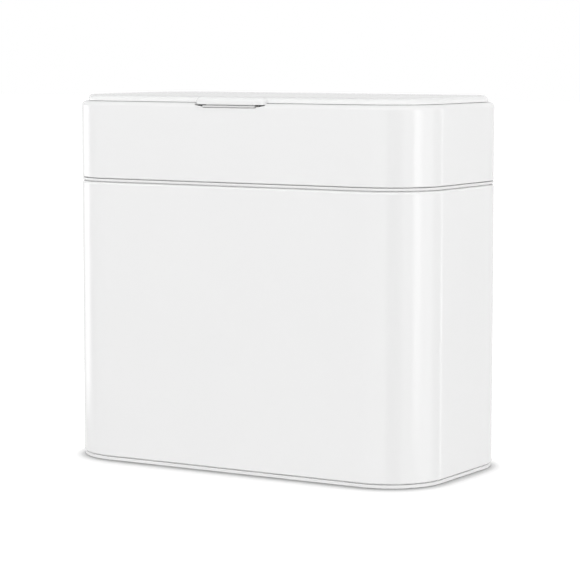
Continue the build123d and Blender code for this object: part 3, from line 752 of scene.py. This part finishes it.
def base_moulding():
    """Plastic base: a ring under a shadow groove, ribs below, seats for feet and screw heads."""
    ring_top = base_high.z - BASE_GROOVE
    hollow_top = base_low.z + BASE_HOLLOW
    rib_top = hollow_top + BASE_HOLLOW / 2
    below = base_low.z - BEYOND
    piece = begin_block("base_moulding", BODY, BASE_INSET, base_low.z, ring_top)
    pick("FACE", facing(Z, UP))
    step_in(BASE_NECK - BASE_INSET)
    step_along(BASE_GROOVE)
    pick("FACE", facing(Z, DOWN))
    step_in(BASE_RIM)
    step_along(BASE_HOLLOW)
    round_off(BODY, BASE_INSET, base_low.z, BASE_EDGE, steps=4)
    round_off(BODY, BASE_INSET, ring_top, BASE_EDGE, steps=4)
    rib_half = DEPTH / 2 - BASE_INSET - BASE_RIM / 2
    for i in range(BASE_RIB_COUNT):
        x = (i - (BASE_RIB_COUNT - 1) / 2) * BASE_RIB_PITCH
        add(piece, box_tool((x - BASE_RIB / 2, -rib_half, base_low.z),
                            (x + BASE_RIB / 2, rib_half, rib_top)))
    spine_half = WIDTH / 2 - BASE_INSET - BASE_RIM / 2
    add(piece, box_tool((-spine_half, -BASE_RIB / 2, base_low.z),
                        (spine_half, BASE_RIB / 2, rib_top)))
    add(piece, posts(HEAD_RADIUS + SEAT_RIM, SCREW_SPOTS, base_low.z, rib_top))
    add(piece, posts(FOOT_RADIUS + SEAT_RIM, FOOT_SPOTS, base_low.z, rib_top))
    cut(piece, posts(FOOT_RADIUS + SEAT_SLACK, FOOT_SPOTS, below, base_low.z + SEAT_DEPTH))
    cut(piece, posts(HEAD_RADIUS + SEAT_SLACK, SCREW_SPOTS, below, hollow_top))
    cut(piece, posts(SHANK_HOLE, SCREW_SPOTS, below, base_high.z + BEYOND))
    hand_over(piece, "housing", "base_tray", "white_plastic")


def rubber_feet():
    """Four rubber pads with a ringed tread."""
    foot = post(FOOT_RADIUS, foot_low.z, foot_high.z)
    foot.name = foot.data.name = "rubber_feet"
    bpy.ops.object.mode_set(mode="EDIT")
    pick("FACE", facing(Z, DOWN))
    step_in(FOOT_TREAD)
    step_in(FOOT_TREAD_DEPTH, FOOT_TREAD_DEPTH)
    step_in(FOOT_TREAD)
    step_in(FOOT_TREAD_DEPTH, -FOOT_TREAD_DEPTH)
    soften(foot, FOOT_SOFT)
    piece = copies(foot, [(*spot, 0) for spot in FOOT_SPOTS])
    hand_over(piece, "housing", "foot_pads", "dark_rubber")


def pan_moulding():
    """Plastic floor pan with a low wall and six screw bosses."""
    piece = begin_block("pan_moulding", BODY, PAN_INSET, pan_low.z, pan_high.z)
    floor = pan_low.z + PAN_FLOOR
    pick("FACE", facing(Z, UP))
    step_in(PAN_WALL)
    step_along(floor - pan_high.z)
    round_off(BODY, PAN_INSET + PAN_WALL, floor, PAN_FLOOR_ROUND)
    round_rim(BODY, PAN_INSET, PAN_WALL, pan_high.z)
    add(piece, posts(BOSS_RADIUS, SCREW_SPOTS, floor - PAN_FLOOR / 2, floor + BOSS_HEIGHT))
    cut(piece, posts(BOSS_BORE, SCREW_SPOTS, pan_low.z - BEYOND, pan_low.z + BOSS_BORE_DEPTH))
    hand_over(piece, "housing", "floor_pan", "white_plastic")


def magnet_holder():
    """Plastic carrier on the rear wall: pockets for the magnets and a bed for their back plate."""
    piece = begin_box("magnet_holder", carrier_low, carrier_high)
    pick("EDGE", along(Y))
    bevel(CARRIER_CORNER, steps=10)
    pick("EDGE", at(Y, carrier_low.y))
    bevel(CARRIER_EDGE, steps=3)
    slack = Vector((POCKET_SLACK, POCKET_SLACK / 2, POCKET_SLACK))
    beyond = Vector((0, BEYOND, 0))
    pitch = (magnet_high.x - magnet_low.x - MAGNET_WIDTH) / (MAGNET_COUNT - 1)
    for i in range(MAGNET_COUNT):
        left = magnet_low.x + i * pitch
        low = Vector((left, magnet_low.y, magnet_low.z))
        high = Vector((left + MAGNET_WIDTH, magnet_high.y, magnet_high.z))
        cut(piece, box_tool(low - slack, high + slack + beyond))
    cut(piece, box_tool(plate_low - slack - beyond, plate_high + slack))
    hand_over(piece, "housing", "magnet_carrier", "white_plastic")


# Bucket

def scrap_bucket():
    """Tapered tub with a rolled rim and a rounded foot."""
    roll_bottom = bucket_high.z - ROLL_HEIGHT
    inner_floor = bucket_low.z + BUCKET_WALL
    piece = begin_block("scrap_bucket", BODY, ROLL_INSET, roll_bottom, bucket_high.z)
    pick("FACE", facing(Z, DOWN))
    step_in(BUCKET_SHOULDER)
    step_in(BUCKET_TAPER, bucket_low.z - roll_bottom)
    pick("FACE", facing(Z, UP))
    step_in(BUCKET_RIM)
    step_in(BUCKET_TAPER, inner_floor - bucket_high.z)
    outer_foot = ROLL_INSET + BUCKET_SHOULDER + BUCKET_TAPER
    inner_foot = ROLL_INSET + BUCKET_RIM + BUCKET_TAPER
    round_off(BODY, outer_foot, bucket_low.z, BUCKET_FOOT, steps=12)
    round_off(BODY, inner_foot, inner_floor, BUCKET_FOOT - BUCKET_WALL, steps=12)
    round_off(BODY, ROLL_INSET, bucket_high.z, ROLL_ROUND, steps=6)
    round_off(BODY, ROLL_INSET, roll_bottom, ROLL_LIP, steps=4)
    round_off(BODY, ROLL_INSET + BUCKET_RIM, bucket_high.z, ROLL_ROUND, steps=6)
    hand_over(piece, "bucket", "bucket", "grey_bucket_plastic")


# Collar

def notch_tool():
    """The stepped notch under the pull tab, as a tool that starts in front of the band."""
    shelf = lid_low.z - NOTCH_END
    step = lid_low.z - NOTCH_STEP
    narrow = (LIP_HALF + NOTCH_SIDE) / NOTCH_HALF
    tool = begin_box("tool", (-NOTCH_HALF, FRONT - BEYOND, shelf),
                     (NOTCH_HALF, FRONT + BAND_LIP + BEYOND, lid_high.z))
    pick("FACE", facing(Z, DOWN))
    step_along(step - shelf)
    bpy.ops.transform.resize(value=(narrow, 1, 1), center_override=(0, FRONT, step))
    step_along(NOTCH_BOTTOM - step)
    return close_editing(tool)


def painted_band():
    """Steel band with a rounded shoulder, a lip under the lid and the notch for the tab."""
    piece = begin_block("painted_band", BODY, 0.0, band_low.z, band_high.z)
    open_end(DOWN, BAND_HEM)
    open_end(UP, BAND_LIP)
    round_off(BODY, 0.0, band_high.z, BAND_SHOULDER, steps=9)
    round_off(BODY, 0.0, band_low.z, BAND_FOOT, steps=6)
    thicken(piece)
    cut(piece, notch_tool())
    rear = begin_block("tool", BODY, BAND_REAR_LIP, DECK_TOP - SHEET, band_high.z + SHEET)
    slice_off((0, HINGE_Y - SWEEP_RADIUS, 0), (0, -1, 0))
    cut(piece, rear)
    soften(piece, BAND_SOFT)
    hand_over(piece, "collar", "collar_band", "white_painted_steel")


def collar_moulding():
    """Plastic frame in the band: deck, throat, spigot, hinge bed and the floor of the notch."""
    frame_bottom = band_low.z + FRAME_RELIEF
    piece = begin_block("collar_moulding", BODY, FRAME_INSET, frame_bottom, DECK_TOP)
    pick("FACE", facing(Z, DOWN))
    step_in(SHOULDER_INSET - FRAME_INSET)
    step_along(SHOULDER_BOTTOM - frame_bottom)
    step_in(SPIGOT_INSET - SHOULDER_INSET)
    step_along(frame_low.z - SHOULDER_BOTTOM)
    step_in(SPIGOT_WALL)
    step_along(SHOULDER_TOP + BEYOND - frame_low.z)
    round_off(BODY, FRAME_INSET, DECK_TOP, BAND_SHOULDER - SHEET, steps=6)
    round_rim(BODY, SPIGOT_INSET, SPIGOT_WALL, frame_low.z)
    throat_bottom = DECK_TOP - THROAT_DIP
    cavity = block_tool(BODY, FRAME_INSET + FRAME_WALL, SHOULDER_TOP, DECK_BOTTOM)
    cut(cavity, block_tool(THROAT, -THROAT_WALL, throat_bottom, DECK_BOTTOM + BEYOND))
    cut(piece, cavity)
    cut(piece, block_tool(THROAT, 0.0, throat_bottom - BEYOND, DECK_TOP + BEYOND))
    # Hinge bed, with a closed pocket under each knuckle
    bed = begin_block("tool", BODY, LID_INSET, DECK_BOTTOM, HINGE_Z)
    slice_off((0, HINGE_Y - SPINE_RADIUS, 0), (0, -1, 0))
    add(piece, bed)
    pocket_start, pocket_end = KNUCKLE_START - KNUCKLE_GAP, KNUCKLE_END + KNUCKLE_GAP
    pocket_depth = SWEEP_RADIUS + POCKET_WALL
    for side in SIDES:
        left, right = ends(side, pocket_start - POCKET_WALL, pocket_end + POCKET_WALL)
        add(piece, box_tool((left, HINGE_Y - pocket_depth, HINGE_Z - pocket_depth),
                            (right, HINGE_Y + pocket_depth, DECK_BOTTOM + DECK / 2)))
    for side in SIDES:
        cut(piece, rod(SWEEP_RADIUS, *ends(side, pocket_start, pocket_end)))
        cut(piece, rod(PIN_BORE, *ends(side, PIN_START, PIN_END)))
    cut(piece, posts(CAP_SCREW_BORE, CAP_SCREW_SPOTS, DECK_BOTTOM - BEYOND, HINGE_Z + BEYOND))
    # Floor of the notch
    floor_half = NOTCH_HALF + NOTCH_FLOOR
    floor_front = FRONT + FRAME_INSET + FRAME_WALL / 2
    floor_rear = FRONT + FRAME_INSET + NOTCH_DEPTH + NOTCH_FLOOR
    add(piece, box_tool((-floor_half, floor_front, NOTCH_BOTTOM - NOTCH_FLOOR),
                        (floor_half, floor_rear, NOTCH_BOTTOM)))
    cut(piece, box_tool((-NOTCH_HALF, FRONT - BEYOND, NOTCH_BOTTOM),
                        (NOTCH_HALF, FRONT + NOTCH_DEPTH, lid_high.z)))
    hand_over(piece, "collar", "collar_frame", "white_plastic")


def tab_bumpers():
    """Two soft blocks that catch the pull tab; their dark colour also paints the shade in the gaps
    beside its lip.
    """
    half = (TAB_HALF - LIP_HALF - NOTCH_SIDE) / 2
    bumper = begin_box("tab_bumpers", (-half, bumper_low.y, bumper_low.z),
                       (half, bumper_high.y, bumper_high.z))
    pick("EDGE", along(Z))
    bevel(BUMPER_ROUND, steps=6)
    pick("EDGE", at(Z, bumper_high.z))
    bevel(BUMPER_CROWN, steps=4)
    piece = copies(bumper, [(side * (bumper_high.x - half), 0, 0) for side in SIDES])
    hand_over(piece, "collar", "lid_bumpers", "dark_silicone")


def spine_outline(start, end):
    """The lid's outline over one stretch of the spine, as a tool."""
    tool = begin_block("tool", BODY, LID_INSET, HINGE_Z - BEYOND, lid_high.z + BEYOND)
    slice_off((start, 0, 0), (-1, 0, 0))
    slice_off((end, 0, 0), (1, 0, 0))
    return close_editing(tool)


def spine_cap(name, node, start, end):
    """One fixed stretch of the half-round spine over the hinge pins."""
    piece = rod(SPINE_RADIUS, start - BEYOND, end + BEYOND)
    piece.name = piece.data.name = name
    bpy.ops.object.mode_set(mode="EDIT")
    slice_off((0, HINGE_Y, HINGE_Z), (0, 0, -1))
    combine(piece, "INTERSECT", spine_outline(start, end))
    for side in SIDES:
        cut(piece, rod(PIN_BORE, *ends(side, PIN_START, PIN_END)))
    spots = [spot for spot in CAP_SCREW_SPOTS if start < spot[X] < end]
    cut(piece, posts(CAP_SCREW_BORE, spots, HINGE_Z - BEYOND, HINGE_Z + CAP_SCREW_BITE))
    soften(piece, CAP_SOFT)
    hand_over(piece, "collar", node, "white_plastic")


# Lid

def painted_lid():
    """Pressed lid skin whose front runs out into the pull tab."""
    front = FRONT + LID_INSET

    def behind_tab(face):
        return abs(face.calc_center_median().x) < TAB_HALF

    def under_tab(face):
        middle = face.calc_center_median()
        return middle.z < LID_BOTTOM + TOUCH and middle.y < front - TOUCH

    def folded(edge):
        return edge.calc_face_angle(0) > FOLD_ANGLE

    piece = begin_block("painted_lid", BODY, LID_INSET, LID_BOTTOM, lid_high.z)
    for side in SIDES:
        bpy.ops.mesh.select_all(action="SELECT")
        bpy.ops.mesh.bisect(plane_co=(side * TAB_HALF, 0, 0), plane_no=(1, 0, 0))
    pick("FACE", facing(Y, -1), behind_tab)
    bpy.ops.mesh.extrude_region_move(TRANSFORM_OT_translate={"value": (0, lid_low.y - front, 0)})
    pick("EDGE", along(Z), at(Y, lid_low.y))
    bevel(TAB_CORNER, steps=8)
    bpy.ops.mesh.select_all(action="SELECT")
    bpy.ops.mesh.dissolve_limited(angle_limit=FLAT_ANGLE)
    pick("FACE", facing(Z, DOWN))
    step_in(LID_SKIN)
    step_along(lid_high.z - LID_SKIN - LID_BOTTOM)
    pick("FACE", facing(Z, DOWN), under_tab)
    step_along(lid_low.z - LID_BOTTOM)
    pick("EDGE", at(Z, lid_high.z), folded)
    bevel(LID_EDGE, steps=7)
    # A border of its own keeps the flat top even beside the rounded edge
    pick("FACE", facing(Z, UP))
    step_in(LID_EDGE / 2)
    slice_off((0, LID_REAR, 0), (0, 1, 0))
    cut(piece, rod(SWEEP_RADIUS, -WIDTH / 2, WIDTH / 2))
    soften(piece, LID_SOFT)
    hand_over(piece, "lid", "lid_cover", "white_painted_steel")


def grip_moulding():
    """Plastic insert that fills the pull tab from below and carries the finger lip."""
    half = grip_high.x
    piece = begin_box("grip_moulding", (-half, grip_low.y, lid_low.z),
                      (half, grip_high.y, grip_high.z))
    pick("EDGE", along(Z), at(Y, grip_low.y))
    bevel(GRIP_CORNER, steps=8)
    lip_front = FRONT - LIP_PROUD
    lip = begin_box("tool", (-LIP_HALF, lip_front, grip_low.z),
                    (LIP_HALF, lip_front + LIP_THICK, lid_low.z - LIP_GROOVE))
    pick("EDGE", at(Z, grip_low.z))
    bevel(LIP_ROUND, steps=4)
    pick("FACE", facing(Z, UP))
    step_in(LIP_GROOVE_DEPTH)
    bpy.ops.transform.translate(value=(0, LIP_NECK_SHIFT, 0))
    step_along(LIP_GROOVE + LIP_THICK / 2)
    add(piece, lip)
    hand_over(piece, "lid", "tab_grip", "white_plastic")


def lid_liner():
    """Plastic inner panel with the plug rim, the seal's groove and the hinge knuckles."""
    piece = begin_block("lid_liner", BODY, PANEL_INSET, PANEL_BOTTOM, PANEL_TOP)
    slice_off((0, LID_REAR, 0), (0, 1, 0))
    cut(piece, rod(SWEEP_RADIUS, -WIDTH / 2, WIDTH / 2))
    groove = block_tool(THROAT, -SEAL_GROW - GROOVE_SLACK, PANEL_BOTTOM - BEYOND, seal_high.z)
    cut(groove, block_tool(THROAT, SEAL_WIDTH - SEAL_GROW + GROOVE_SLACK,
                           PANEL_BOTTOM - 2 * BEYOND, seal_high.z + BEYOND))
    cut(piece, groove)
    plug = begin_block("tool", THROAT, PLUG_CLEAR, panel_low.z, (PANEL_BOTTOM + PANEL_TOP) / 2)
    pick("FACE", facing(Z, DOWN))
    step_in(PLUG_WALL)
    step_along(PANEL_BOTTOM - panel_low.z)
    round_rim(THROAT, PLUG_CLEAR, PLUG_WALL, panel_low.z)
    add(piece, plug)
    for side in SIDES:
        left, right = ends(side, KNUCKLE_START, KNUCKLE_END)
        add(piece, box_tool((left, HINGE_Y - KNUCKLE_ARM, PANEL_BOTTOM),
                            (right, HINGE_Y, PANEL_TOP)))
        add(piece, rod(SPINE_RADIUS, left, right))
        cut(piece, rod(BUSH_BORE, left - BEYOND, right + BEYOND))
    hand_over(piece, "lid", "lid_inner", "white_plastic")


def lid_gasket():
    """Silicone ring in the panel's groove."""
    piece = begin_block("lid_gasket", THROAT, -SEAL_GROW, seal_low.z, seal_high.z)
    for way in (DOWN, UP):
        pick("FACE", facing(Z, way))
        step_in(SEAL_WIDTH)
    inner = SEAL_WIDTH - SEAL_GROW
    tunnel(THROAT, inner)
    round_off(THROAT, -SEAL_GROW, seal_low.z, SEAL_ROUND)
    round_off(THROAT, inner, seal_low.z, SEAL_ROUND)
    hand_over(piece, "lid", "lid_seal", "grey_silicone")


painted_shell()
seam_trim()
base_moulding()
rubber_feet()
pan_moulding()
magnet_holder()
scrap_bucket()
painted_band()
collar_moulding()
tab_bumpers()
spine_cap("spine_cap_left", "hinge_cap_left", -WIDTH / 2, cap_left_high.x)
spine_cap("spine_cap_centre", "hinge_cap_centre", cap_centre_low.x, cap_centre_high.x)
spine_cap("spine_cap_right", "hinge_cap_right", cap_right_low.x, WIDTH / 2)
painted_lid()
grip_moulding()
lid_liner()
lid_gasket()

# CAD nodes that stay, with a better finish
KEPT_NODES = {
    "base_screws": "bright_steel",
    "hinge_cap_screws": "bright_steel",
    "hinge_pins": "bright_steel",
    "magnet_back_plate": "bright_steel",
    "docking_magnets": "nickel_magnet",
    "hinge_bushes": "natural_acetal",
}
for node, slot in KEPT_NODES.items():
    for material_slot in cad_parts[node].material_slots:
        material_slot.material = FINISHES[slot]

# Studio
FLOOR_SIZE = 16.0
FLOOR_TONE = 0.55
FLOOR_LIFT = 0.92
SHADOW_SAMPLES = 16
SHADOW_REACH = 0.024
SHADOW_DEPTH = 1.1
SHADOW_LEAN = Vector((-0.52, 0.85, 1.0)).normalized()
CONTACT_REACH = 0.008
CONTACT_DEPTH = 0.6
SKY_LOW = 2.28
SKY_HIGH = 0.08
SKY_FRONT = 0.25
SKY_RIGHT = 0.18
SKY_CORNER = 0.08
STUDIO_MIDDLE = Vector((0, 0, lid_high.z / 2))
STUDIO_RADIUS = 2.0
CAMERA_PLACE = Vector((0.7425, -1.2113, 0.2467))
CAMERA_AIM = Vector((-0.0029, 0.0102, 0.1000))
CAMERA_LENS = 149.28
CAMERA_SENSOR = 36.0


def paper_floor():
    """Pale floor, lifted to white for the eye except in the contact shadow.

    The diffuse floor takes the real shadow, and ambient occlusion cuts the lift to paint a deeper
    contact shadow.
    One part of the painted shadow leans towards the front and the right, the other is short all
    round.
    """
    clear_bench()
    bpy.ops.mesh.primitive_plane_add(size=FLOOR_SIZE, location=(0, 0, 0))
    floor = bpy.context.object
    floor.name = "studio_floor"
    floor.visible_glossy = False
    paper = bpy.data.materials.new("studio_paper")
    root = empty_tree(paper)
    matt = root.node("ShaderNodeBsdfDiffuse", {},
                     {"Color": (FLOOR_TONE, FLOOR_TONE, FLOOR_TONE, 1)})
    seen = root.node("ShaderNodeLightPath", give="Is Camera Ray")
    lean = root.node("ShaderNodeCombineXYZ", {}, dict(zip("XYZ", SHADOW_LEAN)))
    clear = root.node("ShaderNodeAmbientOcclusion", {"samples": SHADOW_SAMPLES},
                      {"Distance": SHADOW_REACH, "Normal": lean}, give="AO")
    near = root.node("ShaderNodeAmbientOcclusion", {"samples": SHADOW_SAMPLES},
                     {"Distance": CONTACT_REACH}, give="AO")
    # Painted shadow: ambient occlusion cuts the camera-only lift near the caddy, more on the front
    # and right
    shade = 1 - SHADOW_DEPTH * (1 - clear) - CONTACT_DEPTH * (1 - near)
    lift = root.math("MAXIMUM", shade, 0.0)
    glow = root.node("ShaderNodeEmission", {}, {"Strength": FLOOR_LIFT * seen * lift})
    both = root.node("ShaderNodeAddShader", {}, {0: matt, 1: glow})
    root.node("ShaderNodeOutputMaterial", {}, {"Surface": both})
    floor.data.materials.append(paper)


def studio_sky():
    """A world that is white to the eye and in reflections, and lights softly from low all round."""
    world = bpy.data.worlds.new("studio")
    bpy.context.scene.world = world
    root = empty_tree(world)
    seen = root.node("ShaderNodeLightPath", give="Is Camera Ray")
    mirrored = root.node("ShaderNodeLightPath", give="Is Glossy Ray")
    through = root.node("ShaderNodeLightPath", give="Is Transmission Ray")
    direct = root.math("MINIMUM", seen + mirrored + through, 1.0)
    way = root.node("ShaderNodeTexCoord", give="Generated")
    right, rear, height = (root.node("ShaderNodeSeparateXYZ", {}, {"Vector": way}, give=axis)
                           for axis in "XYZ")
    sky = (SKY_LOW + (SKY_HIGH - SKY_LOW) * root.math("MAXIMUM", height, 0.0)
           + SKY_RIGHT * right - SKY_FRONT * rear + SKY_CORNER * (right * rear))
    strength = direct + (1 - direct) * sky
    backdrop = root.node("ShaderNodeBackground", {},
                         {"Color": (1, 1, 1, 1), "Strength": strength})
    root.node("ShaderNodeOutputWorld", {}, {"Surface": backdrop})


def away_from(azimuth, elevation):
    """The way from the caddy towards an azimuth and an elevation in degrees."""
    turn, tilt = math.radians(azimuth), math.radians(elevation)
    level = math.cos(tilt)
    return Vector((math.sin(turn) * level, -math.cos(turn) * level, math.sin(tilt)))


def softbox(name, azimuth, elevation, width, height, radiance):
    """A lamp panel that only shows as a reflection, and looks at the middle of the caddy."""
    away = away_from(azimuth, elevation)
    lamp = bpy.data.lights.new(name, "AREA")
    lamp.shape = "RECTANGLE"
    lamp.size, lamp.size_y = width, height
    lamp.energy = radiance * math.pi * width * height
    panel = bpy.data.objects.new(name, lamp)
    bpy.context.scene.collection.objects.link(panel)
    panel.location = STUDIO_MIDDLE + STUDIO_RADIUS * away
    panel.rotation_euler = away.to_track_quat("Z", "Y").to_euler()
    panel.visible_camera = panel.visible_diffuse = False


def flag(name, azimuth, elevation, width, height, tone):
    """A grey or black panel that only shows as a reflection."""
    away = away_from(azimuth, elevation)
    clear_bench()
    bpy.ops.mesh.primitive_plane_add(
        size=1, location=STUDIO_MIDDLE + STUDIO_RADIUS * away,
        rotation=away.to_track_quat("Z", "Y").to_euler(), scale=(width, height, 1))
    panel = bpy.context.object
    panel.name = name
    panel.visible_camera = panel.visible_diffuse = False
    panel.visible_transmission = panel.visible_shadow = False
    card = bpy.data.materials.new(name)
    root = empty_tree(card)
    glow = root.node("ShaderNodeEmission", {}, {"Strength": tone})
    root.node("ShaderNodeOutputMaterial", {}, {"Surface": glow})
    panel.data.materials.append(card)


def studio_camera():
    """The camera, at the photograph's angle."""
    camera = bpy.data.cameras.new("camera")
    camera.lens = CAMERA_LENS
    camera.sensor_width = CAMERA_SENSOR
    viewer = bpy.data.objects.new("camera", camera)
    bpy.context.scene.collection.objects.link(viewer)
    viewer.location = CAMERA_PLACE
    viewer.rotation_euler = (CAMERA_PLACE - CAMERA_AIM).to_track_quat("Z", "Y").to_euler()
    bpy.context.scene.camera = viewer


paper_floor()
studio_sky()
softbox("strip_right", azimuth=81.5, elevation=-2.1, width=0.52, height=0.63, radiance=2.7)
softbox("strip_right_faint", azimuth=102.0, elevation=-7.4, width=0.95, height=1.0, radiance=0.9)
softbox("strip_right_thin", azimuth=143.0, elevation=-11.8, width=0.07, height=1.3, radiance=4.2)
softbox("strip_left", azimuth=-95.5, elevation=-1.7, width=0.85, height=0.60, radiance=1.5)
flag("flag_right", azimuth=38.0, elevation=-4.0, width=0.40, height=1.8, tone=0.0)
flag("flag_behind", azimuth=-148.5, elevation=4.0, width=1.6, height=0.5, tone=0.86)
flag("flag_above", azimuth=-140.0, elevation=33.0, width=2.2, height=1.6, tone=0.55)
studio_camera()
bpy.context.scene.view_settings.view_transform = "Standard"
